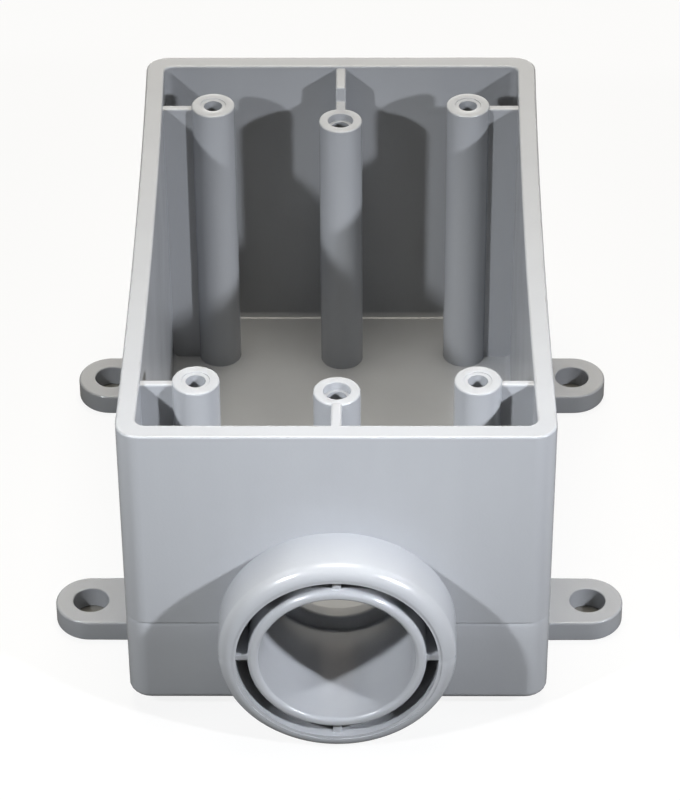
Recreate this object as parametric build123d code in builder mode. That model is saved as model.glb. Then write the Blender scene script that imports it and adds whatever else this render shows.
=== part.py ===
"""Weatherproof single-gang outlet box, injection moulded in rigid PVC as one piece.

The box lies on its back with the open face up. X is its width, Y its length with the conduit
hub at the -Y end, and Z rises from the mounting plane of the back. Lengths are in millimetres
and angles in degrees.
"""

from build123d import *
import os
from math import tan, radians

os.makedirs("parts", exist_ok=True)

# Body
rim_width = 74.0
rim_length = 117.4
depth = 61.6
wall = 3.4
floor_thickness = 2.8
outer_corner_r = 4.1
inner_corner_r = 1.7
side_bow = 0.6
outer_draft = 0.25
core_draft = 0.3
rim_chamfer = 0.3
floor_edge_r = 1.3
bevel_rise = 3.7
bevel_run = 4.4
bevel_corner_r = 0.8

# Mounting lugs
lug_pitch_x = 89.6
lug_pitch_y = 66.5
lug_width = 12.7
lug_thickness = 4.2
lug_hole_d = 6.4
lug_chamfer = 0.3

# Conduit hub, from the socket outwards
socket_d = 26.9
socket_depth = 23.8
tube_wall = 1.85
tube_edge_r = 0.8
socket_lead = 0.7
groove_width = 2.05
groove_depth = 8.2
hub_wall = 3.05
land_width = 0.6
hub_step = 0.12
hub_edge_flat = 0.05
hub_clearance = 0.2
hub_reach = 9.7
throat_d = 20.9
throat_wall = 2.4
throat_chamfer = 0.9
spoke_thickness = 1.6
spoke_recess = 1.0
spoke_edge_r = 0.35

# Screw bosses
boss_d = 8.1
cover_pitch_x = 47.8
cover_pitch_y = 85.0
cover_boss_drop = 0.4
device_pitch = 83.34
device_boss_drop = 3.3
screw_hole_d = 3.2
screw_hole_depth = 22.0
cover_lead_d = 4.6
cover_lead_angle = 125
device_recess_d = 4.6
device_recess_depth = 1.5
seat_under_boss = 1.5

# Webs that tie the bosses to the walls
cover_web = 1.5
cover_web_drop = 0.5
device_web = 1.9
device_web_drop = 0.45
device_web_gap = 2.7
device_web_sink = 0.2

# Parting line
seam_width = 0.25
seam_depth = 0.2

# Overlap that buries one feature in the next
bury = 0.6

# Places worked out from the sizes above
groove_inner_d = socket_d + 2 * tube_wall
groove_outer_d = groove_inner_d + 2 * groove_width
hub_d = groove_outer_d + 2 * hub_wall
hub_edge_r = hub_wall - land_width - hub_edge_flat
hub_z = hub_d / 2 + hub_clearance
front_y = -rim_length / 2
face_y = front_y - hub_reach
housing_start_y = front_y + wall - bury
housing_end_y = face_y + socket_depth + throat_wall
buried_y = front_y + bevel_run + bury
wall_x = rim_width / 2 - wall
wall_y = rim_length / 2 - wall
root_z = floor_thickness - bury
cover_top = depth - cover_boss_drop
device_top = depth - device_boss_drop
device_boss_foot = hub_z + throat_d / 2 + seat_under_boss
cover_web_reach = wall_x + bury - cover_pitch_x / 2
cover_web_top = cover_top - cover_web_drop
device_web_top = depth - device_web_drop
device_web_step_y = device_pitch / 2 + boss_d / 2 + device_web_gap
land_r = groove_outer_d / 2 + land_width
hub_axis = Axis((0, 0, hub_z), (0, 1, 0))
hub_face = Plane(origin=(0, face_y, hub_z), x_dir=(1, 0, 0), z_dir=(0, -1, 0))


def outline(width, length, corner_r):
    """Rounded rectangle whose long sides bend inwards by side_bow at mid length."""
    x = width / 2
    y = length / 2
    with BuildSketch() as face:
        with BuildLine():
            ThreePointArc((x, -y), (x - side_bow, 0), (x, y))
            Line((x, y), (-x, y))
            ThreePointArc((-x, y), (side_bow - x, 0), (-x, -y))
            Line((-x, -y), (x, -y))
        make_face()
        fillet(face.vertices(), corner_r)
    return face.sketch


def drawn_in(inset, corner_r):
    """Outline that stands in from the rim by an inset."""
    return outline(rim_width - 2 * inset, rim_length - 2 * inset, corner_r)


seam_inset = (depth - hub_z) * tan(radians(outer_draft)) + seam_depth
rim_outline = drawn_in(0, outer_corner_r)
back_outline = drawn_in(bevel_run, bevel_corner_r)
mouth_outline = drawn_in(wall, inner_corner_r)
seam_outside = drawn_in(-bury, outer_corner_r)
seam_root = drawn_in(seam_inset, outer_corner_r - seam_depth)

# Lug bars: each runs right across under the floor and ends in two rounded lugs
with BuildPart() as lug_bars:
    with BuildSketch(Plane.XY):
        with Locations((0, -lug_pitch_y / 2), (0, lug_pitch_y / 2)):
            SlotCenterToCenter(lug_pitch_x, lug_width)
    extrude(amount=lug_thickness)
    chamfer(lug_bars.edges().group_by(Axis.Z)[-1], lug_chamfer)

# Hub drum: a large front radius, then a narrow land set back round the groove
with BuildPart() as hub_drum:
    with BuildSketch(Plane.YZ) as drum_profile:
        with BuildLine():
            land_y = face_y + hub_step
            land_z = hub_z + land_r
            top_z = hub_z + hub_d / 2
            Polyline((buried_y, hub_z), (land_y, hub_z), (land_y, land_z), (face_y, land_z),
                     (face_y, top_z), (buried_y, top_z), close=True)
        make_face()
        fillet(drum_profile.vertices().sort_by_distance((face_y, top_z))[0], hub_edge_r)
    revolve(axis=hub_axis)

# Spokes: four thin bars that cross the groove between the drum and the socket tube
with BuildPart() as spokes:
    with BuildSketch(hub_face.offset(-spoke_recess)):
        Rectangle(2 * land_r, spoke_thickness)
        Rectangle(spoke_thickness, 2 * land_r)
    extrude(amount=-(groove_depth - spoke_recess + bury))
    fillet(spokes.edges().filter_by(Plane.XZ).group_by(Axis.Y)[0], spoke_edge_r)
    with BuildSketch(hub_face):
        Circle(groove_inner_d / 2 - bury)
    extrude(amount=-(groove_depth + 2 * bury), mode=Mode.SUBTRACT)

# Parting line of the hub: a fine strip at each side that follows its rounded front
with BuildPart() as hub_seam:
    with BuildSketch(Plane.XY.offset(hub_z - seam_width / 2)):
        with Locations((0, front_y)):
            Rectangle(hub_d + 2 * bury, 2 * (hub_reach + bury))
            RectangleRounded(hub_d - 2 * seam_depth, 2 * (hub_reach - seam_depth), hub_edge_r - seam_depth,
                             mode=Mode.SUBTRACT)
            Rectangle(2 * land_r, 2 * (hub_reach + 2 * bury), mode=Mode.SUBTRACT)
            Rectangle(hub_d + 4 * bury, hub_reach + 2 * bury, align=(Align.CENTER, Align.MIN),
                      mode=Mode.SUBTRACT)
    extrude(amount=seam_width)

with BuildPart() as outlet_box:
    # Outside of the box, drafted from the rim down, with a bevelled back
    with BuildSketch(Plane.XY.offset(depth)):
        add(rim_outline)
    extrude(amount=-(depth - bevel_rise), taper=outer_draft)
    loft(sections=[outlet_box.faces().sort_by(Axis.Z)[0], back_outline.faces()[0]], ruled=True)

    # Parting line, a fine groove round the outside at the height of the hub's axis
    with BuildSketch(Plane.XY.offset(hub_z - seam_width / 2)):
        add(seam_outside)
        add(seam_root, mode=Mode.SUBTRACT)
    extrude(amount=seam_width, mode=Mode.SUBTRACT)

    add(lug_bars.part)
    add(hub_drum.part)

    # Inside of the box, with a rounded foot and eased rim edges
    with BuildSketch(Plane.XY.offset(depth)):
        add(mouth_outline)
    extrude(amount=floor_thickness - depth, taper=core_draft, mode=Mode.SUBTRACT)
    floor_face = outlet_box.faces().filter_by(Plane.XY).sort_by(lambda f: abs(f.center().Z - floor_thickness))[0]
    fillet(floor_face.edges(), floor_edge_r)
    chamfer(outlet_box.faces().sort_by(Axis.Z)[-1].edges(), rim_chamfer)

    # Socket housing inside the box: round above, straight down to the floor at its sides
    with BuildSketch(Plane.XZ.offset(-housing_end_y)):
        with Locations((0, hub_z)):
            Circle(groove_inner_d / 2)
            Rectangle(groove_inner_d, hub_z - root_z, align=(Align.CENTER, Align.MAX))
    extrude(amount=housing_end_y - housing_start_y)

    # Screw bosses: four for the cover and two for the device, the front one on the housing
    with BuildSketch(Plane.XY.offset(root_z)):
        with GridLocations(cover_pitch_x, cover_pitch_y, 2, 2):
            Circle(boss_d / 2)
    extrude(amount=cover_top - root_z)
    with BuildSketch(Plane.XY.offset(root_z)):
        with Locations((0, device_pitch / 2)):
            Circle(boss_d / 2)
    extrude(amount=device_top - root_z)
    with BuildSketch(Plane.XY.offset(device_boss_foot)):
        with Locations((0, -device_pitch / 2)):
            Circle(boss_d / 2)
    extrude(amount=device_top - device_boss_foot)

    # Webs from the cover bosses to the side walls
    with BuildSketch(Plane.XY.offset(root_z)):
        with GridLocations(cover_pitch_x + cover_web_reach, cover_pitch_y, 2, 2):
            Rectangle(cover_web_reach, cover_web)
    extrude(amount=cover_web_top - root_z)

    # Webs from the device bosses to the end walls, stepped down to the boss for the device strap
    with BuildSketch(Plane.YZ) as device_webs:
        for end, web_root in ((-1, device_boss_foot), (1, root_z)):
            with BuildLine():
                boss_y = end * device_pitch / 2
                step_y = end * device_web_step_y
                buried_wall_y = end * (wall_y + bury)
                low_z = device_top - device_web_sink
                Polyline((boss_y, web_root), (buried_wall_y, web_root), (buried_wall_y, device_web_top),
                         (step_y, device_web_top), (step_y, low_z), (boss_y, low_z), close=True)
            make_face()
    extrude(amount=device_web / 2, both=True)

    # Socket with its stop and throat, and the groove that cores out the hub
    with BuildSketch(Plane.YZ) as cores:
        with Locations((face_y - bury, hub_z)):
            Rectangle(socket_depth + bury, socket_d / 2, align=Align.MIN)
            Rectangle(socket_depth + throat_wall + 2 * bury, throat_d / 2, align=Align.MIN)
        throat_edge = (face_y + socket_depth, hub_z + throat_d / 2)
        chamfer(cores.vertices().sort_by_distance(throat_edge)[0], throat_chamfer)
        with Locations((face_y - bury, hub_z + groove_inner_d / 2)):
            Rectangle(groove_depth + bury, groove_width, align=Align.MIN)
    revolve(axis=hub_axis, mode=Mode.SUBTRACT)
    tube_rims = outlet_box.edges().filter_by(GeomType.CIRCLE).filter_by_position(Axis.Y, land_y, land_y)
    fillet(tube_rims.filter_by(lambda e: abs(e.radius - groove_inner_d / 2) < bury), tube_edge_r)
    chamfer(tube_rims.filter_by(lambda e: abs(e.radius - socket_d / 2) < bury), socket_lead)
    add(spokes.part)
    add(hub_seam.part, mode=Mode.SUBTRACT)

    # Screw holes in the bosses and fixing holes in the lugs
    with Locations(Plane.XY.offset(cover_top)):
        with GridLocations(cover_pitch_x, cover_pitch_y, 2, 2):
            CounterSinkHole(screw_hole_d / 2, cover_lead_d / 2, screw_hole_depth, cover_lead_angle)
    with Locations(Plane.XY.offset(device_top)):
        with GridLocations(device_pitch, device_pitch, 1, 2):
            CounterBoreHole(screw_hole_d / 2, device_recess_d / 2, device_recess_depth, screw_hole_depth)
    with Locations(Plane.XY.offset(lug_thickness)):
        with GridLocations(lug_pitch_x, lug_pitch_y, 2, 2):
            Hole(lug_hole_d / 2, depth=lug_thickness)

outlet_box.part.label = "outlet_box"
export_step(outlet_box.part, "parts/outlet_box.step")
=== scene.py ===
import logging
import math
from dataclasses import dataclass, field
from enum import Enum
from typing import Any

import bpy
import numpy as np
from mathutils import Matrix, Vector

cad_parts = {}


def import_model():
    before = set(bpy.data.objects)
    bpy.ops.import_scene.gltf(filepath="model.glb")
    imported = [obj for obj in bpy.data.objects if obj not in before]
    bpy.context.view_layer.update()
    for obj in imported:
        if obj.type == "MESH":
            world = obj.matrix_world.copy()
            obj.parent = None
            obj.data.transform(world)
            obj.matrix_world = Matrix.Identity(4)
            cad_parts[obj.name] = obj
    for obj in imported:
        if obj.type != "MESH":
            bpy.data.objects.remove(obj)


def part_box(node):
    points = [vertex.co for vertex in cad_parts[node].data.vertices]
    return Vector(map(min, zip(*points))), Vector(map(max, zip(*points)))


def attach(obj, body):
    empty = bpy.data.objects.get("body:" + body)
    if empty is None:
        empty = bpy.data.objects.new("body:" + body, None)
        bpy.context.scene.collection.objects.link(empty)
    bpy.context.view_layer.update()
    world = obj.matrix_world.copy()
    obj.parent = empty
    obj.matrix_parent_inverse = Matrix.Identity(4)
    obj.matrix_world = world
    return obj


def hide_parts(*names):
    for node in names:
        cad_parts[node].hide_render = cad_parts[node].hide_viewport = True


LOG = logging.getLogger("outlet_box")
MM = 0.001
NODE = "outlet_box"
BODY = "root"
TINY = 1e-9
SAME_POINT_MM = 1e-4
CREASE = math.radians(32.0)
PHOTO_HIGH_PX = 800
SENSOR_MM = 36.0
FULL_TURN = 2 * math.pi
WHITE = (1.0, 1.0, 1.0, 1.0)
# The Mix node's colour sockets go by number, because its other sockets have the same names
MIX_FIRST, MIX_SECOND, MIX_RESULT = 6, 7, 2


class End(Enum):
    """One of the two short ends of the box, as the sign of its Y."""

    HUB = -1
    FAR = 1


class Side(Enum):
    """One of the two long sides of the box, as the sign of its X."""

    LEFT = -1
    RIGHT = 1


def linear(hex_code: str) -> tuple[float, float, float, float]:
    """Turns an sRGB hex colour into linear RGBA by the standard's curve.

    Args:
        hex_code: Six hex digits, such as "a7a9ac".

    Returns:
        The colour's linear values and an alpha of one.
    """
    parts = [int(hex_code[i:i + 2], 16) / 255 for i in (0, 2, 4)]
    red, green, blue = (c / 12.92 if c <= 0.04045 else ((c + 0.055) / 1.055) ** 2.4 for c in parts)
    return (red, green, blue, 1.0)


def add_node(tree: bpy.types.NodeTree, kind: str, settings: dict[str, Any] | None = None,
             inputs: dict[Any, Any] | None = None) -> bpy.types.Node:
    """Adds one node, sets it and links what feeds it.

    Args:
        tree: The node tree that takes the node.
        kind: The node's type, without its "ShaderNode" prefix.
        settings: Attribute values of the node.
        inputs: Input name or number to a plain value, or to an output socket that is linked in.

    Returns:
        The new node.
    """
    node = tree.nodes.new("ShaderNode" + kind)
    for name, value in (settings or {}).items():
        setattr(node, name, value)
    for name, value in (inputs or {}).items():
        if isinstance(value, bpy.types.NodeSocket):
            tree.links.new(value, node.inputs[name])
        else:
            node.inputs[name].default_value = value
    return node


def cleared_nodes(owner: bpy.types.ID) -> bpy.types.NodeTree:
    """Empties the node tree of a material or a world.

    Args:
        owner: The material or the world.

    Returns:
        Its node tree, which holds no node.
    """
    owner.use_nodes = True
    owner.node_tree.nodes.clear()
    return owner.node_tree


def link(name: str, data: bpy.types.ID) -> bpy.types.Object:
    """Puts data into the scene as an object at the origin.

    Args:
        name: The object's name.
        data: A mesh, a light or a camera.

    Returns:
        The new object.
    """
    made = bpy.data.objects.new(name, data)
    bpy.context.scene.collection.objects.link(made)
    return made


def unit(vectors: np.ndarray) -> np.ndarray:
    """Divides each vector of the last axis by its length, and leaves a null vector as it is."""
    return vectors / np.maximum(np.linalg.norm(vectors, axis=-1, keepdims=True), TINY)


def rounded(corners: list[tuple[float, float]], radii: list[float], steps: int) -> np.ndarray:
    """Rounds the corners of a closed flat outline.

    Each corner becomes an arc that touches both of its sides. The arc starts radius / tan(half
    angle) back along the first side, its centre lies on the bisector at radius / sin(half angle),
    and it turns by a half turn less the full angle. A corner of no radius stays one point.

    Args:
        corners: The outline's corners in order.
        radii: One radius for each corner.
        steps: Points along each arc.

    Returns:
        Points of the rounded outline, one a row.
    """
    corner = np.array(corners, float)
    radius = np.array(radii, float)[:, None]
    back = unit(np.roll(corner, 1, axis=0) - corner)
    ahead = unit(np.roll(corner, -1, axis=0) - corner)
    half = np.arccos(np.clip((back * ahead).sum(1, keepdims=True), -1, 1)) / 2
    centre = corner + unit(back + ahead) * radius / np.maximum(np.sin(half), TINY)
    arm = corner + back * radius / np.maximum(np.tan(half), TINY) - centre
    bend = np.sign(back[:, :1] * ahead[:, 1:] - back[:, 1:] * ahead[:, :1])
    turn = bend * (2 * half - math.pi) * np.linspace(0, 1, steps)
    across = centre[:, :1] + arm[:, :1] * np.cos(turn) - arm[:, 1:] * np.sin(turn)
    along = centre[:, 1:] + arm[:, :1] * np.sin(turn) + arm[:, 1:] * np.cos(turn)
    path = np.stack((across, along), axis=-1).reshape(-1, 2)
    gaps = np.linalg.norm(path - np.roll(path, 1, axis=0), axis=1)
    return path[gaps > SAME_POINT_MM]


def quads(rows: np.ndarray, wrap_rows: bool = False, wrap_columns: bool = False) -> np.ndarray:
    """Joins a grid of point numbers into quads.

    Each number meets its right, lower right and lower neighbour, found by rolling the grid. The
    last row or column is left out unless the grid closes on itself there.

    Args:
        rows: Point numbers, one row of the grid a row.
        wrap_rows: Whether the last row meets the first.
        wrap_columns: Whether the last column meets the first.

    Returns:
        Four point numbers for each quad.
    """
    right = np.roll(rows, -1, axis=1)
    lower = np.roll(rows, -1, axis=0)
    both = np.roll(right, -1, axis=0)
    cells = np.stack((rows, right, both, lower), axis=-1)
    cells = cells if wrap_rows else cells[:-1]
    cells = cells if wrap_columns else cells[:, :-1]
    return cells.reshape(-1, 4)


@dataclass
class Skin:
    """Points in millimetres and faces of one closed surface, gathered patch by patch."""

    points: list[np.ndarray] = field(default_factory=list)
    quads: list[np.ndarray] = field(default_factory=list)
    triangles: list[np.ndarray] = field(default_factory=list)

    def add_points(self, points: np.ndarray) -> np.ndarray:
        """Adds an array of points.

        Args:
            points: Array whose last axis is X, Y and Z.

        Returns:
            The points' numbers, in an array of the same shape less that axis.
        """
        first = sum(len(patch) for patch in self.points)
        self.points.append(points.reshape(-1, 3))
        return first + np.arange(points[..., 0].size).reshape(points.shape[:-1])

    def add_fan(self, ring: np.ndarray, tip: np.ndarray) -> None:
        """Closes a ring with triangles that meet at a tip and run against the ring's order.

        Args:
            ring: The ring's point numbers.
            tip: The tip's place.
        """
        centre = self.add_points(tip[None, :])
        after = np.roll(ring, -1)
        self.triangles.append(np.stack((np.full(len(ring), centre[0]), after, ring), axis=-1))

    def make(self, name: str, material: bpy.types.Material) -> bpy.types.Object:
        """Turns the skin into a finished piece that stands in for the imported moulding.

        Points that no face uses are dropped. The volume inside is a sixth of the sum of each
        triangle's triple product, and where it comes out negative all faces are turned round.

        Args:
            name: The piece's name.
            material: Its finish.

        Returns:
            The piece, at the origin, riding on the box's body.
        """
        points = np.concatenate(self.points)
        four = np.concatenate(self.quads)
        three = np.concatenate(self.triangles) if self.triangles else np.empty((0, 3), int)
        halves = np.concatenate((four[:, [0, 1, 2]], four[:, [0, 2, 3]], three))
        first, second, third = (points[halves[:, k]] for k in range(3))
        if np.einsum("ij,ij->", first, np.cross(second, third)) < 0:
            four, three = four[:, ::-1], three[:, ::-1]
        used, numbers = np.unique(np.concatenate((four.ravel(), three.ravel())), return_inverse=True)
        split = four.size
        faces = numbers[:split].reshape(-1, 4).tolist() + numbers[split:].reshape(-1, 3).tolist()
        mesh = bpy.data.meshes.new(name)
        mesh.from_pydata((points[used] * MM).tolist(), [], faces)
        mesh.polygons.foreach_set("use_smooth", np.ones(len(faces), bool))
        mesh.set_sharp_from_angle(angle=CREASE)
        mesh.materials.append(material)
        piece = link(name, mesh)
        level = piece.modifiers.new("flat_faces_stay_flat", "WEIGHTED_NORMAL")
        level.keep_sharp = True
        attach(piece, BODY)
        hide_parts(NODE)
        LOG.info("%s has %d faces", name, len(faces))
        return piece


def turned(profile: np.ndarray, centre: tuple[float, float], sides: int) -> np.ndarray:
    """Turns a profile about an upright axis.

    The point at radius r and height z goes to centre + r (cos a, sin a) at z, for evenly spaced a.

    Args:
        profile: Radius and height of each point.
        centre: X and Y of the axis.
        sides: Points round the axis.

    Returns:
        Grid of points, profile by angle.
    """
    angle = np.linspace(0, FULL_TURN, sides, endpoint=False)
    radius, height = profile[:, :1], profile[:, 1:]
    return np.stack((centre[0] + radius * np.cos(angle), centre[1] + radius * np.sin(angle),
                     height + 0 * angle), axis=-1)


def closed_bar(grid: np.ndarray, name: str, material: bpy.types.Material) -> bpy.types.Object:
    """Makes a closed bar from rows that each go round its section.

    Args:
        grid: Points, one row a section.
        name: The piece's name.
        material: Its finish.

    Returns:
        The piece, closed at both ends by fans about the sections' mean points.
    """
    skin = Skin()
    rows = skin.add_points(grid)
    skin.quads.append(quads(rows, wrap_columns=True))
    skin.add_fan(rows[0], grid[0].mean(0))
    skin.add_fan(rows[-1][::-1], grid[-1].mean(0))
    return skin.make(name, material)


@dataclass(frozen=True)
class MouldedPvc:
    """Rigid PVC, injection moulded in light grey against a finely spark-eroded steel mould.

    The resin is opaque with a soft gloss, so highlights are bright but not sharp, and a little
    broken by the grain. The melt left faint flow streaks down the walls, and the walls sink by a
    few hundredths of a millimetre, which bends the reflections.

    The real grain is finer than a tenth of a millimetre and is drawn coarser, so that it shows.
    The roughness stays under 0.27, because the denoiser treats rougher surfaces in another way,
    and the border between the two shows as a contour.
    """

    name: str = "rigid_pvc_injection_moulded"
    light: str = "a7a9ac"
    dark: str = "a0a2a6"
    ior: float = 1.53
    roughness: tuple[float, float] = (0.21, 0.26)
    roughness_noise: tuple[float, float] = (0.3, 0.7)
    grain_mm: float = 0.5
    grain_depth_mm: float = 0.016
    streak_mm: tuple[float, float, float] = (9.0, 9.0, 60.0)
    streak_detail: float = 3.0
    sink_mm: float = 15.0
    sink_depth_mm: float = 0.015
    relief_detail: float = 2.0

    def material(self) -> bpy.types.Material:
        """Builds the node tree. Streaks mix the two greys, and the sinks also vary the gloss.

        Returns:
            The material.
        """
        made = bpy.data.materials.new(self.name)
        tree = cleared_nodes(made)
        place = add_node(tree, "TexCoord").outputs["Object"]
        stretched = add_node(tree, "Mapping",
                             inputs={"Vector": place, "Scale": [1 / (size * MM) for size in self.streak_mm]})
        streaks = add_node(tree, "TexNoise", inputs={"Vector": stretched.outputs["Vector"], "Scale": 1.0,
                                                     "Detail": self.streak_detail})
        colour = add_node(tree, "Mix", {"data_type": "RGBA"},
                          {"Factor": streaks.outputs["Fac"], MIX_FIRST: linear(self.light),
                           MIX_SECOND: linear(self.dark)})
        sink = add_node(tree, "TexNoise", inputs={"Vector": place, "Scale": 1 / (self.sink_mm * MM),
                                                  "Detail": self.relief_detail})
        gloss = add_node(tree, "MapRange",
                         inputs={"Value": sink.outputs["Fac"], "From Min": self.roughness_noise[0],
                                 "From Max": self.roughness_noise[1], "To Min": self.roughness[0],
                                 "To Max": self.roughness[1]})
        grain = add_node(tree, "TexNoise", inputs={"Vector": place, "Scale": 1 / (self.grain_mm * MM),
                                                   "Detail": self.relief_detail})
        waves = add_node(tree, "Bump", inputs={"Height": sink.outputs["Fac"], "Strength": 1.0,
                                               "Distance": self.sink_depth_mm * MM})
        relief = add_node(tree, "Bump", inputs={"Height": grain.outputs["Fac"], "Strength": 1.0,
                                                "Distance": self.grain_depth_mm * MM,
                                                "Normal": waves.outputs["Normal"]})
        surface = add_node(tree, "BsdfPrincipled",
                           inputs={"Base Color": colour.outputs[MIX_RESULT],
                                   "Roughness": gloss.outputs["Result"], "IOR": self.ior,
                                   "Normal": relief.outputs["Normal"]})
        add_node(tree, "OutputMaterial", inputs={"Surface": surface.outputs["BSDF"]})
        return made


@dataclass(frozen=True)
class PaperSweep:
    """Matt paper under the box.

    To the camera a share of it, the glow, shines by itself, so it looks white and still takes the
    box's soft shadow. Other rays meet a darker paper, which keeps the box's own shadows deep.
    Under the lugs' holes shade is painted: there the camera gets neither the glow nor the pale
    colour, only the darker paper.
    """

    hole_at_mm: tuple[float, float, float]
    painted_shade_reach_mm: float = 5.0
    name: str = "matt_paper_sweep"
    seen_colour: str = "e2e2e0"
    shade_colour: str = "74736f"
    glow: float = 0.86

    def material(self) -> bpy.types.Material:
        """Builds the node tree.

        The painted shade under the four holes is one disc after the coordinates' signs are dropped,
        so one distance finds it.

        Returns:
            The material.
        """
        made = bpy.data.materials.new(self.name)
        tree = cleared_nodes(made)
        place = add_node(tree, "TexCoord").outputs["Object"]
        quarter = add_node(tree, "VectorMath", {"operation": "ABSOLUTE"}, {0: place})
        from_hole = add_node(tree, "VectorMath", {"operation": "DISTANCE"},
                             {0: quarter.outputs["Vector"], 1: [c * MM for c in self.hole_at_mm]})
        # Painted shade: the glow and the pale paper reach the camera only outside the discs under the lug
        # holes
        outside = add_node(tree, "Math", {"operation": "GREATER_THAN"},
                           {0: from_hole.outputs["Value"], 1: self.painted_shade_reach_mm * MM})
        ray = add_node(tree, "LightPath")
        seen = add_node(tree, "Math", {"operation": "MULTIPLY"},
                        {0: ray.outputs["Is Camera Ray"], 1: outside.outputs[0]})
        colour = add_node(tree, "Mix", {"data_type": "RGBA"},
                          {"Factor": seen.outputs[0], MIX_FIRST: linear(self.shade_colour),
                           MIX_SECOND: linear(self.seen_colour)})
        share = add_node(tree, "Math", {"operation": "MULTIPLY"}, {0: seen.outputs[0], 1: self.glow})
        paper = add_node(tree, "BsdfDiffuse", inputs={"Color": colour.outputs[MIX_RESULT]})
        white = add_node(tree, "Emission", inputs={"Color": WHITE, "Strength": 1.0})
        mixed = add_node(tree, "MixShader",
                         inputs={0: share.outputs[0], 1: paper.outputs[0], 2: white.outputs[0]})
        add_node(tree, "OutputMaterial", inputs={"Surface": mixed.outputs[0]})
        return made


@dataclass(frozen=True)
class Plan:
    """Sizes in millimetres that several features of the moulding share.

    The parting line runs round box and hub at the height of the hub's axis. It is a groove whose
    upper edge comes back to the face at once, at the lip, and so hangs over and stays dark. Below,
    it fades out.
    """

    depth: float
    length: float
    hub_face_y: float
    lug_tip_x: float
    width: float = 74.0
    wall: float = 3.4
    floor: float = 2.8
    hub_z: float = 20.6
    socket_r: float = 13.45
    tube_wall: float = 1.85
    outer_draft: float = math.tan(math.radians(0.25))
    inner_draft: float = math.tan(math.radians(0.3))
    seam_width: float = 0.25
    seam_depth: float = 0.28
    seam_lip: float = 0.175
    seam_fade: float = 1.0
    bury: float = 0.6

    @classmethod
    def from_frame(cls) -> "Plan":
        """Reads the height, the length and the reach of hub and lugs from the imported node's box."""
        low, high = (np.array(corner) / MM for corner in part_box(NODE))
        return cls(depth=high[2], length=2 * high[1], hub_face_y=low[1], lug_tip_x=high[0])

    @property
    def tube_r(self) -> float:
        """Outer radius of the socket tube."""
        return self.socket_r + self.tube_wall

    @property
    def inner_x(self) -> float:
        """Half the width of the mouth."""
        return self.width / 2 - self.wall

    @property
    def inner_y(self) -> float:
        """Half the length of the mouth."""
        return self.length / 2 - self.wall

    @property
    def root_z(self) -> float:
        """Height inside the floor at which what stands on it starts."""
        return self.floor - self.bury

    @property
    def seam_levels(self) -> np.ndarray:
        """Heights over the hub's axis of the parting line's fade, two edges and lip."""
        return np.array([-self.seam_fade, -self.seam_width / 2, self.seam_width / 2, self.seam_lip])

    @property
    def seam_reach(self) -> float:
        """Distance from the hub's axis up or down within which the parting line is at full depth."""
        return (self.seam_width / 2 + self.seam_lip) / 2


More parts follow.
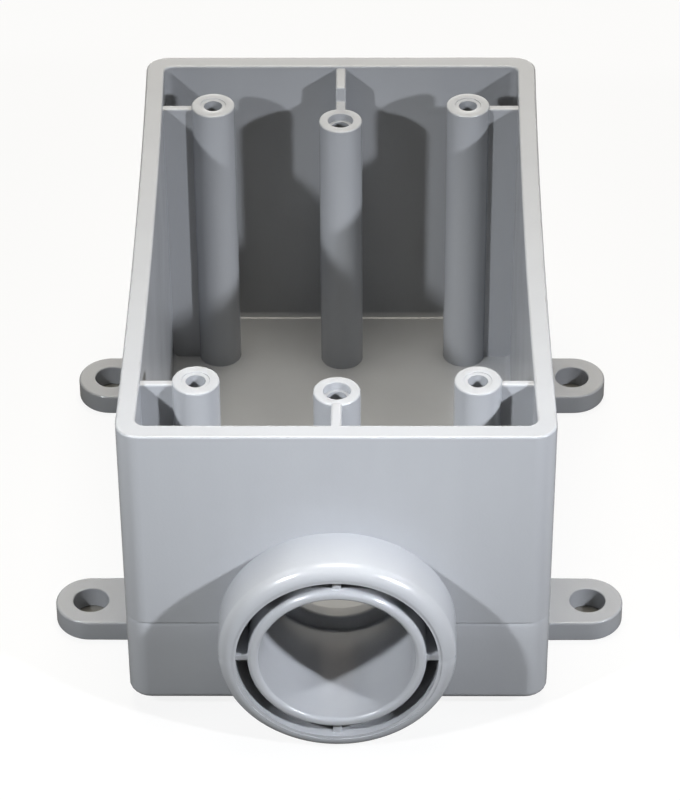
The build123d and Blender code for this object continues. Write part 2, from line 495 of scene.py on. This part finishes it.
@dataclass
class BoxShell:
    """Floor and four walls as one skin, with a hole in the front wall for the socket."""

    plan: Plan
    outer_corner_r: float = 4.1
    inner_corner_r: float = 1.7
    side_bow: float = 0.6
    rim_edge_r: float = 0.4
    foot_r: float = 1.3
    bevel_rise: float = 3.7
    bevel_run: float = 4.4
    bevel_corner_r: float = 0.8
    back_edge_r: float = 0.5
    bevel_edge_r: float = 1.6
    fan_inset: float = 18.5
    levels: int = 9
    end_columns: int = 24
    side_columns: int = 40
    arc_steps: int = 7

    def columns(self) -> tuple[np.ndarray, np.ndarray]:
        """Lays out the perimeter as anchors and normals.

        A point of a rounded rectangle is anchor * (half size - corner radius) + normal * corner
        radius. Along a side the anchor slides while the normal stands still, and round a corner
        the anchor stands still while the normal turns. The front side and its right corner are
        turned by quarters for the other three.

        Returns:
            Anchors and normals, one a row, in the order front, right, rear, left.
        """
        angle = np.linspace(0, math.pi / 2, self.arc_steps)[1:-1]
        anchors, normals = [], []
        for quarter, count in enumerate((self.end_columns, self.side_columns) * 2):
            cos, sin = round(math.cos(quarter * math.pi / 2)), round(math.sin(quarter * math.pi / 2))
            spin = np.array([[cos, sin], [-sin, cos]])
            run = np.linspace(-1, 1, count)
            edge = np.stack((run, np.full(count, -1.0)), axis=-1)
            corner = np.broadcast_to((1.0, -1.0), (len(angle), 2))
            straight = np.broadcast_to((0.0, -1.0), (count, 2))
            arc = np.stack((np.sin(angle), -np.cos(angle)), axis=-1)
            anchors += [edge @ spin, corner @ spin]
            normals += [straight @ spin, arc @ spin]
        return np.concatenate(anchors), np.concatenate(normals)

    def section(self) -> tuple[np.ndarray, np.ndarray, np.ndarray]:
        """Works out the wall's section, from the back up the outside and down the inside.

        Its five bends are the two edges of the back's bevel, the two edges of the rim and the
        foot, and its two ends are where the fans of back and floor start. Levels are set in
        between along both faces of the wall, and the outer ones at the parting line step in by
        its depth. The corner radius shrinks as the section draws in: outside from the rim's to
        the back's, inside one for one.

        Returns:
            Inset from the rim's outline, height and corner radius of each row.
        """
        plan = self.plan
        foot_inset = plan.wall + (plan.depth - plan.floor) * plan.inner_draft
        bevel_inset = (plan.depth - self.bevel_rise) * plan.outer_draft
        corners = [(self.fan_inset, 0), (self.bevel_run, 0), (bevel_inset, self.bevel_rise), (0, plan.depth),
                   (plan.wall, plan.depth), (foot_inset, plan.floor), (self.fan_inset, plan.floor)]
        radii = [0, self.back_edge_r, self.bevel_edge_r, self.rim_edge_r, self.rim_edge_r, self.foot_r, 0]
        bends = rounded(corners, radii, self.arc_steps)[1:-1].reshape(-1, self.arc_steps, 2)
        back, bevel, rim_out, rim_in, foot = bends
        evenly = np.linspace(bevel[-1, 1], rim_out[0, 1], self.levels + 2)[1:-1]
        height = np.sort(np.concatenate((evenly, plan.hub_z + plan.seam_levels)))
        sunk = plan.seam_depth * (np.abs(height - plan.hub_z) < plan.seam_reach)
        outside = np.stack(((plan.depth - height) * plan.outer_draft + sunk, height), axis=-1)
        drop = np.linspace(rim_in[-1], foot[0], len(height) + 2)[1:-1]
        outer = np.concatenate((back, bevel, outside, rim_out))
        inner = np.concatenate((rim_in, drop, foot))
        shrink = (self.outer_corner_r - self.bevel_corner_r) / self.bevel_run
        radius = np.concatenate((self.outer_corner_r - shrink * outer[:, 0],
                                 self.inner_corner_r + plan.wall - inner[:, 0]))
        rows = np.concatenate((outer, inner))
        return rows[:, 0], rows[:, 1], radius

    def wall_y(self, height: np.ndarray, inside: bool) -> np.ndarray:
        """Finds the front wall's face, which leans in by its draft from the rim down.

        Args:
            height: Heights over the back.
            inside: Whether the inner face is meant.

        Returns:
            Y of the face at each height.
        """
        plan = self.plan
        drop = plan.depth - height
        if inside:
            return drop * plan.inner_draft - plan.inner_y
        return drop * plan.outer_draft - plan.length / 2

    def hole(self, edge: np.ndarray, inside: bool) -> np.ndarray:
        """Throws the panel's edge onto the hole's circle.

        Each point moves along its ray from the hub's axis to the circle inside the tube's wall.
        Points of the parting line keep their height instead, so that the line stays as wide. The
        step from the wall's face is kept.

        Args:
            edge: Points round the panel.
            inside: Whether the panel is the wall's inner face.

        Returns:
            As many points on the circle.
        """
        plan = self.plan
        radius = plan.socket_r + plan.tube_wall / 2
        across, up = edge[:, 0], edge[:, 2] - plan.hub_z
        reach = np.hypot(across, up)
        level = np.abs(up) < plan.seam_width
        chord = np.sqrt(radius ** 2 - np.minimum(up ** 2, plan.seam_width ** 2))
        side = np.where(level, np.sign(across) * chord, across * radius / reach)
        height = plan.hub_z + np.where(level, up, up * radius / reach)
        step = edge[:, 1] - self.wall_y(edge[:, 2], inside)
        return np.stack((side, self.wall_y(height, inside) + step, height), axis=-1)

    def build(self, material: bpy.types.Material) -> bpy.types.Object:
        """Makes the shell.

        Rows of the section times columns of the perimeter give the grid, and the long sides bend
        in by bow * (1 - (y / half length)^2). The front wall's two flat panels are left out of the
        grid. Four rings take their place: outer edge, outer circle, inner circle, inner edge.
        Fans close the back and the floor.

        Args:
            material: The resin.

        Returns:
            The piece.
        """
        plan = self.plan
        anchor, normal = self.columns()
        inset, height, radius = self.section()
        half = np.array([plan.width, plan.length]) / 2 - inset[:, None]
        flat = anchor * (half - radius[:, None])[:, None] + normal * radius[:, None, None]
        bend = self.side_bow * (1 - (flat[..., 1] / half[:, 1:]) ** 2)
        flat[..., 0] -= np.sign(flat[..., 0]) * bend
        grid = np.dstack((flat, np.broadcast_to(height[:, None], flat.shape[:2])))
        skin = Skin()
        rows = skin.add_points(grid)
        span = self.levels + len(plan.seam_levels) + 1
        low, foot = 2 * self.arc_steps - 1, len(inset) - self.arc_steps
        high, mouth = low + span, foot - span
        last = self.end_columns - 1
        cell = quads(rows, wrap_columns=True).reshape(len(inset) - 1, -1, 4)
        panel = np.zeros(cell.shape[:2], bool)
        panel[low:high, :last] = True
        panel[mouth:foot, :last] = True
        skin.quads.append(cell[~panel])
        outer = np.concatenate((rows[low, :last], rows[low:high, last], rows[high, last:0:-1],
                                rows[high:low:-1, 0]))
        inner = np.concatenate((rows[foot, :last], rows[foot:mouth:-1, last], rows[mouth, last:0:-1],
                                rows[mouth:foot, 0]))
        points = grid.reshape(-1, 3)
        outer_hole = skin.add_points(self.hole(points[outer], inside=False))
        inner_hole = skin.add_points(self.hole(points[inner], inside=True))
        skin.quads.append(quads(np.stack((outer, outer_hole, inner_hole, inner)), wrap_columns=True))
        skin.add_fan(rows[0], np.zeros(3))
        skin.add_fan(rows[-1][::-1], np.array([0, 0, plan.floor]))
        return skin.make("box_shell", material)


@dataclass
class ConduitHub:
    """Drum with a rounded front, ring groove, socket tube and the socket's housing in the box.

    The parting line is shallower across the drum's face, so that it stays in front of the land.
    """

    plan: Plan
    groove_width: float = 2.05
    groove_depth: float = 8.2
    hub_wall: float = 3.05
    land_width: float = 0.6
    land_step: float = 0.12
    front_r: float = 2.4
    tube_edge_r: float = 0.8
    lead_r: float = 0.7
    root_r: float = 0.3
    socket_depth: float = 23.8
    throat_wall: float = 2.4
    throat_r: float = 10.45
    throat_edge_r: float = 0.45
    face_seam_depth: float = 0.096
    wall_bury: float = 1.7
    bevel_bury: float = 4.8
    under_floor: float = 0.2
    arc_steps: int = 9
    sides: int = 160
    spokes: int = 4
    spoke_thickness: float = 1.6
    spoke_recess: float = 1.0
    spoke_edge_r: float = 0.45

    @property
    def groove_r(self) -> float:
        """Outer radius of the ring groove."""
        return self.plan.tube_r + self.groove_width

    @property
    def drum_r(self) -> float:
        """Outer radius of the drum."""
        return self.groove_r + self.hub_wall

    @property
    def groove_end(self) -> float:
        """Y of the groove's bottom."""
        return self.plan.hub_face_y + self.groove_depth

    def profile(self, sunk: float) -> np.ndarray:
        """Works out the ring's closed section as Y and radius, from the drum's buried end round.

        Args:
            sunk: How far the drum's outside steps in, for the parting line.

        Returns:
            Points of the section.
        """
        plan = self.plan
        buried = self.wall_bury - plan.length / 2
        face_y = plan.hub_face_y + min(sunk, self.face_seam_depth)
        land_y = plan.hub_face_y + self.land_step
        land_r = self.groove_r + self.land_width
        stop_y = plan.hub_face_y + self.socket_depth
        end_y = stop_y + self.throat_wall
        corners = [(buried, self.drum_r - sunk), (face_y, self.drum_r - sunk), (face_y, land_r),
                   (land_y, land_r), (land_y, self.groove_r), (self.groove_end, self.groove_r),
                   (self.groove_end, plan.tube_r), (land_y, plan.tube_r), (land_y, plan.socket_r),
                   (stop_y, plan.socket_r), (stop_y, self.throat_r), (end_y, self.throat_r),
                   (end_y, plan.tube_r), (buried, plan.tube_r)]
        radii = [0, self.front_r - sunk, 0, 0, 0, self.root_r, self.root_r, self.tube_edge_r,
                 self.lead_r, self.root_r, self.throat_edge_r, self.root_r, self.root_r, 0]
        return rounded(corners, radii, self.arc_steps)

    def build_ring(self, material: bpy.types.Material) -> bpy.types.Object:
        """Makes drum, tube and housing as one closed ring.

        The section turns about the hub's axis: at angle a a point of radius r stands at x = r cos a
        and z = hub height + r sin a. Two close pairs of angles at the sides carry the parting line,
        and the angles next to them are its lip above and the end of its fade below. The housing's
        rows are round above, and below they reach out to straight sides and the floor: radius =
        the lesser of tube radius / |cos a| and depth below the axis / |sin a|. The drum's end
        reaches further back where it meets the bevel under the floor.

        Args:
            material: The resin.

        Returns:
            The piece.
        """
        plan = self.plan
        near, above, below = np.array([plan.seam_width / 2, plan.seam_lip, plan.seam_fade]) / self.drum_r
        upper = np.linspace(above, math.pi - above, self.sides // 2)
        lower = np.linspace(math.pi + below, FULL_TURN - below, self.sides // 2)
        angle = np.concatenate(([-near, near], upper, [math.pi - near, math.pi + near], lower))
        in_seam = np.abs(np.sin(angle)) < math.sin(plan.seam_reach / self.drum_r)
        plain, sunk = self.profile(0.0), self.profile(plan.seam_depth)
        section = np.where(in_seam[None, :, None], sunk[:, None], plain[:, None])
        along, radius = section[..., 0].copy(), section[..., 1].copy()
        drop = plan.hub_z - plan.root_z
        aside, down = np.abs(np.cos(angle)), -np.sin(angle)
        square = np.minimum(plan.tube_r / np.maximum(aside, TINY), drop / np.maximum(down, TINY))
        spread = np.where(down > 0, square - plan.tube_r, 0)
        behind = plain[:, 0] > self.groove_end + self.root_r
        on_tube = np.abs(plain[:, 1] - plan.tube_r) < self.root_r + TINY
        radius += (behind & on_tube)[:, None] * spread
        low = plan.hub_z + radius[0] * np.sin(angle) < plan.floor - self.under_floor
        along[0] = np.where(low, self.bevel_bury - plan.length / 2, along[0])
        grid = np.stack((radius * np.cos(angle), along, plan.hub_z + radius * np.sin(angle)), axis=-1)
        skin = Skin()
        skin.quads.append(quads(skin.add_points(grid), wrap_rows=True, wrap_columns=True))
        return skin.make("conduit_hub", material)

    def build_spoke(self, number: int, material: bpy.types.Material) -> bpy.types.Object:
        """Makes one of the thin bars across the groove.

        Its section, thickness by depth with the two front edges rounded, runs outwards from inside
        the tube's wall to inside the drum, and is turned about the hub's axis.

        Args:
            number: Steps round the axis from the right.
            material: The resin.

        Returns:
            The piece.
        """
        plan = self.plan
        front, back = plan.hub_face_y + self.spoke_recess, self.groove_end + plan.bury
        side = self.spoke_thickness / 2
        section = rounded([(-side, back), (-side, front), (side, front), (side, back)],
                          [0, self.spoke_edge_r, self.spoke_edge_r, 0], self.arc_steps)
        reach = np.array([plan.tube_r - plan.bury, self.groove_r + plan.bury])[:, None]
        turn = number * FULL_TURN / self.spokes
        across = reach * math.cos(turn) - section[:, 0] * math.sin(turn)
        up = plan.hub_z + reach * math.sin(turn) + section[:, 0] * math.cos(turn)
        grid = np.stack((across, np.broadcast_to(section[:, 1], across.shape), up), axis=-1)
        return closed_bar(grid, f"hub_spoke_{number + 1}", material)

    def build(self, material: bpy.types.Material) -> list[bpy.types.Object]:
        """Makes the ring, then the spokes evenly round it."""
        ring = self.build_ring(material)
        return [ring] + [self.build_spoke(number, material) for number in range(self.spokes)]


@dataclass
class Bosses:
    """Screw bosses: four for the cover and two for the device.

    The front device boss stands on the socket's housing. Its foot lies inside the housing's wall,
    at front_foot_z over the throat and at over_socket_z where y is less than socket_stop_y.
    """

    plan: Plan
    boss_r: float = 4.05
    hole_r: float = 1.72
    hole_depth: float = 22.0
    edge_r: float = 0.3
    lead_r: float = 2.36
    lead_edge_r: float = 0.12
    cover_pitch: tuple[float, float] = (47.8, 85.0)
    cover_drop: float = 0.4
    cover_lead: tuple[float, float] = (0.16, 0.24)
    device_pitch: float = 83.34
    device_drop: float = 3.3
    device_lead: tuple[float, float] = (1.5, 1.5)
    front_foot_z: float = 32.55
    over_socket_z: float = 34.6
    socket_stop_y: float = -43.4
    sides: int = 64
    arc_steps: int = 5

    def build_one(self, name: str, centre: tuple[float, float], foot: float, top: float,
                  lead: tuple[float, float], material: bpy.types.Material) -> bpy.types.Object:
        """Makes a boss by turning its section about an upright axis.

        The foot's ring rises to clear the socket's bore where it stands over it.

        Args:
            name: The piece's name.
            centre: X and Y of its axis.
            foot: Height at which it starts.
            top: Height of its face.
            lead: Depth of the recess at the rim and at the hole. Equal depths make a flat seat.
            material: The resin.

        Returns:
            The piece.
        """
        corners = [(self.boss_r, foot), (self.boss_r, top), (self.lead_r, top), (self.lead_r, top - lead[0]),
                   (self.hole_r, top - lead[1]), (self.hole_r, top - self.hole_depth)]
        profile = rounded(corners, [0, self.edge_r, self.lead_edge_r, 0, 0, 0], self.arc_steps)
        grid = turned(profile, centre, self.sides)
        over = (grid[0, :, 1] < self.socket_stop_y) & (foot > self.plan.floor)
        grid[0, :, 2] = np.where(over, self.over_socket_z, foot)
        skin = Skin()
        rows = skin.add_points(grid)
        skin.quads.append(quads(rows, wrap_columns=True))
        skin.add_fan(rows[0], np.array([*centre, foot]))
        skin.add_fan(rows[-1][::-1], np.array([*centre, top - self.hole_depth]))
        return skin.make(name, material)

    def build(self, material: bpy.types.Material) -> list[bpy.types.Object]:
        """Makes the six bosses: at each end two for the cover, then one for the device.

        Args:
            material: The resin.

        Returns:
            The pieces.
        """
        plan = self.plan
        made = []
        for end in End:
            for side in Side:
                centre = (side.value * self.cover_pitch[0] / 2, end.value * self.cover_pitch[1] / 2)
                made.append(self.build_one(f"cover_boss_{end.name}_{side.name}".lower(), centre, plan.root_z,
                                           plan.depth - self.cover_drop, self.cover_lead, material))
            centre = (0.0, end.value * self.device_pitch / 2)
            foot = self.front_foot_z if end is End.HUB else plan.root_z
            made.append(self.build_one(f"device_boss_{end.name}".lower(), centre, foot,
                                       plan.depth - self.device_drop, self.device_lead, material))
        return made


@dataclass
class Webs:
    """Thin webs that tie the bosses to the walls."""

    plan: Plan
    bosses: Bosses
    edge_r: float = 0.4
    cover_thickness: float = 1.5
    cover_drop: float = 0.5
    device_thickness: float = 1.9
    device_drop: float = 0.45
    step_gap: float = 2.7
    step_r: float = 0.45
    step_lean: float = 0.2
    seat_sink: float = 0.2
    arc_steps: int = 6

    def section(self, thickness: float, root: float, top: float) -> np.ndarray:
        """Works out a web's section, a bar with its two top edges rounded.

        Args:
            thickness: Its size across.
            root: Height of its lower end.
            top: Height of its upper end.

        Returns:
            Distance across and height of each point.
        """
        half = thickness / 2
        return rounded([(-half, root), (half, root), (half, top), (-half, top)],
                       [0, 0, self.edge_r, self.edge_r], self.arc_steps)

    def build_cover(self, end: End, side: Side, material: bpy.types.Material) -> bpy.types.Object:
        """Makes the web from a cover boss to the side wall: its section carried straight along X.

        Args:
            end: Which end of the box.
            side: Which long side.
            material: The resin.

        Returns:
            The piece.
        """
        plan, bosses = self.plan, self.bosses
        section = self.section(self.cover_thickness, plan.root_z,
                               plan.depth - bosses.cover_drop - self.cover_drop)
        along = side.value * np.array([bosses.cover_pitch[0] / 2 + bosses.boss_r - plan.bury,
                                       plan.inner_x + plan.bury])[:, None]
        across = np.broadcast_to(end.value * bosses.cover_pitch[1] / 2 + section[:, 0],
                                 (len(along), len(section)))
        height = np.broadcast_to(section[:, 1], across.shape)
        grid = np.stack((np.broadcast_to(along, across.shape), across, height), axis=-1)
        return closed_bar(grid, f"cover_web_{end.name}_{side.name}".lower(), material)

    def build_device(self, end: End, material: bpy.types.Material) -> bpy.types.Object:
        """Makes the web from a device boss to the end wall, stepped down to the boss.

        The section is carried along Y. Its upper half moves with the top, which follows a rounded
        outline: high at the wall, then down the step to the seat of the strap.

        Args:
            end: Which end of the box.
            material: The resin.

        Returns:
            The piece.
        """
        plan, bosses = self.plan, self.bosses
        root = bosses.over_socket_z if end is End.HUB else plan.root_z
        high = plan.depth - self.device_drop
        seat = plan.depth - bosses.device_drop - self.seat_sink
        boss_y = bosses.device_pitch / 2 + bosses.boss_r
        step_y = boss_y + self.step_gap
        start, stop = boss_y - plan.bury, plan.inner_y + plan.bury
        outline = rounded([(start, root), (start, seat), (step_y, seat), (step_y + self.step_lean, high),
                           (stop, high), (stop, root)],
                          [0, 0, self.step_r, self.step_r, 0, 0], self.arc_steps)[1:-1]
        section = self.section(self.device_thickness, root, high)
        upper = section[:, 1] > (root + seat) / 2
        along = np.broadcast_to(end.value * outline[:, :1], (len(outline), len(section)))
        height = section[:, 1] + upper * (outline[:, 1:] - high)
        grid = np.stack((np.broadcast_to(section[:, 0], along.shape), along, height), axis=-1)
        return closed_bar(grid, f"device_web_{end.name}".lower(), material)

    def build(self, material: bpy.types.Material) -> list[bpy.types.Object]:
        """Makes the six webs."""
        made = [self.build_cover(end, side, material) for end in End for side in Side]
        return made + [self.build_device(end, material) for end in End]


@dataclass
class Lugs:
    """Four rounded lugs with a screw hole each, at the back of the long sides."""

    plan: Plan
    pitch_y: float = 66.5
    thickness: float = 4.2
    width: float = 12.7
    hole_r: float = 3.2
    edge_r: float = 0.45
    hole_edge_r: float = 0.25
    foot_x: float = 32.1
    foot_lean: float = 0.57
    sides: int = 72
    arc_steps: int = 5

    @property
    def hole_at_mm(self) -> tuple[float, float, float]:
        """Centre of the right far lug's hole, at the back. The other three mirror it."""
        return (self.plan.lug_tip_x - self.width / 2, self.pitch_y / 2, 0.0)

    def build_one(self, end: End, side: Side, material: bpy.types.Material) -> bpy.types.Object:
        """Makes one lug as a closed ring round its hole.

        The section is turned about the hole's axis. Its points near the hole keep their radius.
        Those near the outline keep it on the half turned outwards. On the other half their radius
        is the lesser of reach / |cos a| and half the width / |sin a|, less what the edge takes
        away, which is a bar that ends inside the box's wall.

        Args:
            end: Which end of the box.
            side: Which long side.
            material: The resin.

        Returns:
            The piece.
        """
        half = self.width / 2
        centre_x, centre_y, _ = self.hole_at_mm
        top = self.thickness
        profile = rounded([(self.hole_r, 0), (self.hole_r, top), (half, top), (half, 0)],
                          [self.hole_edge_r, self.hole_edge_r, self.edge_r, self.edge_r], self.arc_steps)
        angle = np.linspace(0, FULL_TURN, self.sides, endpoint=False)
        radius, height = profile[:, :1], profile[:, 1:]
        reach = centre_x - self.foot_x - self.foot_lean * height
        outwards, aside = np.cos(angle), np.abs(np.sin(angle))
        bar = np.minimum(reach / np.maximum(-outwards, TINY), half / np.maximum(aside, TINY))
        spread = (radius > (self.hole_r + half) / 2) * np.where(outwards < 0, bar - half, 0)
        radius = radius + spread
        grid = np.stack((side.value * (centre_x + radius * outwards),
                         end.value * centre_y + radius * np.sin(angle), height + 0 * radius), axis=-1)
        skin = Skin()
        skin.quads.append(quads(skin.add_points(grid), wrap_rows=True, wrap_columns=True))
        return skin.make(f"lug_{end.name}_{side.name}".lower(), material)

    def build(self, material: bpy.types.Material) -> list[bpy.types.Object]:
        """Makes the four lugs."""
        return [self.build_one(end, side, material) for end in End for side in Side]


@dataclass
class PhotoCamera:
    """The camera that the photograph was taken with, as fitted to the box's edges and circles."""

    eye_mm: tuple[float, float, float] = (6.394, -541.454, 441.828)
    elevation: float = 37.643
    yaw: float = -0.674
    roll: float = -0.402
    focal_px: float = 3708.18
    nearest_mm: float = 10.0

    def axes(self) -> tuple[Vector, Vector, Vector]:
        """Works out which way the camera faces.

        Ahead is turned from +Y by the yaw and then down by the elevation. Right is level, up is
        right crossed with ahead, and both turn about ahead by the roll.

        Returns:
            Unit vectors to the right, up and ahead of the camera.
        """
        down, turn, roll = (math.radians(a) for a in (self.elevation, self.yaw, self.roll))
        ahead = Vector((math.sin(turn) * math.cos(down), math.cos(turn) * math.cos(down), -math.sin(down)))
        level = Vector((math.cos(turn), -math.sin(turn), 0))
        above = level.cross(ahead)
        right = level * math.cos(roll) + above * math.sin(roll)
        up = above * math.cos(roll) - level * math.sin(roll)
        return right, up, ahead

    def place(self) -> bpy.types.Object:
        """Makes the camera and gives it to the scene.

        Returns:
            The camera.
        """
        lens = bpy.data.cameras.new("camera")
        lens.lens = self.focal_px / PHOTO_HIGH_PX * SENSOR_MM
        lens.sensor_width = SENSOR_MM
        lens.clip_start = self.nearest_mm * MM
        made = link("camera", lens)
        right, up, ahead = self.axes()
        turn = Matrix((right, up, -ahead)).transposed().to_4x4()
        made.matrix_world = Matrix.Translation(Vector(self.eye_mm) * MM) @ turn
        bpy.context.scene.camera = made
        return made


@dataclass
class StudioLamp:
    """One square studio light that faces the box.

    A beam of less than 180 degrees is a grid on the lamp. It dims what lies off the aim.
    """

    name: str
    at_mm: tuple[float, float, float]
    power: float
    side_mm: float
    tint: tuple[float, float, float]
    aim_mm: tuple[float, float, float] = (0.0, -20.0, 30.0)
    beam: float = 180.0

    def place(self) -> bpy.types.Object:
        """Makes the light and turns it to its aim.

        Returns:
            The light.
        """
        lamp = bpy.data.lights.new(self.name, "AREA")
        lamp.energy = self.power
        lamp.color = self.tint
        lamp.size = self.side_mm * MM
        lamp.spread = math.radians(self.beam)
        made = link(self.name, lamp)
        made.location = Vector(self.at_mm) * MM
        made.rotation_euler = (Vector(self.aim_mm) - Vector(self.at_mm)).to_track_quat("-Z", "Y").to_euler()
        return made


@dataclass
class Studio:
    """Paper sweep, surroundings that look white and give hardly any light, and the lamps.

    The two keys are small, so that their shadows are crisp. They stand where the shadows of hub,
    rim and device boss lead, about 0.4 m away at both sides, and a grid dims each away from the
    hub. A large soft lamp hangs above, and two weaker ones stand behind.
    """

    paper: PaperSweep
    fill: float = 0.01
    floor_mm: float = 3000.0
    lamps: tuple[StudioLamp, ...] = (
        StudioLamp("key_right", at_mm=(271.0, -230.0, 243.0), power=0.125, side_mm=18.0,
                   tint=(0.97, 1.0, 1.06), aim_mm=(0.0, -63.0, 46.0), beam=48.0),
        StudioLamp("key_left", at_mm=(-222.0, -229.0, 257.0), power=0.092, side_mm=18.0,
                   tint=(0.97, 1.0, 1.04), aim_mm=(2.0, -60.0, 56.0), beam=48.0),
        StudioLamp("overhead", at_mm=(0.0, 119.0, 818.0), power=5.5, side_mm=400.0, tint=(1.0, 0.945, 0.83)),
        StudioLamp("warm_back", at_mm=(0.0, 566.0, 596.0), power=0.5, side_mm=500.0, tint=(1.0, 0.9, 0.78)),
        StudioLamp("low_back", at_mm=(0.0, 700.0, 170.0), power=1.8, side_mm=400.0, tint=(1.0, 0.98, 0.95)),
    )

    def build(self) -> None:
        """Makes the floor, the world and the lamps."""
        half = self.floor_mm / 2 * MM
        mesh = bpy.data.meshes.new("floor")
        corners = [(-half, -half, 0), (half, -half, 0), (half, half, 0), (-half, half, 0)]
        mesh.from_pydata(corners, [], [(0, 1, 2, 3)])
        mesh.materials.append(self.paper.material())
        link("floor", mesh)
        world = bpy.data.worlds.new("studio")
        bpy.context.scene.world = world
        tree = cleared_nodes(world)
        ray = add_node(tree, "LightPath")
        seen = add_node(tree, "Math", {"operation": "MAXIMUM"},
                        {0: ray.outputs["Is Camera Ray"], 1: ray.outputs["Is Transmission Ray"]})
        level = add_node(tree, "MapRange",
                         inputs={"Value": seen.outputs[0], "To Min": self.fill, "To Max": 1.0})
        sky = add_node(tree, "Background", inputs={"Color": WHITE, "Strength": level.outputs["Result"]})
        add_node(tree, "OutputWorld", inputs={"Surface": sky.outputs[0]})
        for lamp in self.lamps:
            lamp.place()


def main() -> None:
    """Builds the studio and the moulding's features."""
    logging.basicConfig(level=logging.INFO, format="%(name)s: %(message)s")
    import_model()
    bpy.context.view_layer.update()
    bpy.context.scene.view_settings.view_transform = "Standard"
    PhotoCamera().place()
    plan = Plan.from_frame()
    lugs = Lugs(plan)
    Studio(PaperSweep(lugs.hole_at_mm)).build()
    resin = MouldedPvc().material()
    BoxShell(plan).build(resin)
    ConduitHub(plan).build(resin)
    bosses = Bosses(plan)
    bosses.build(resin)
    Webs(plan, bosses).build(resin)
    lugs.build(resin)
    bpy.context.view_layer.update()


if __name__ == "__main__":
    main()
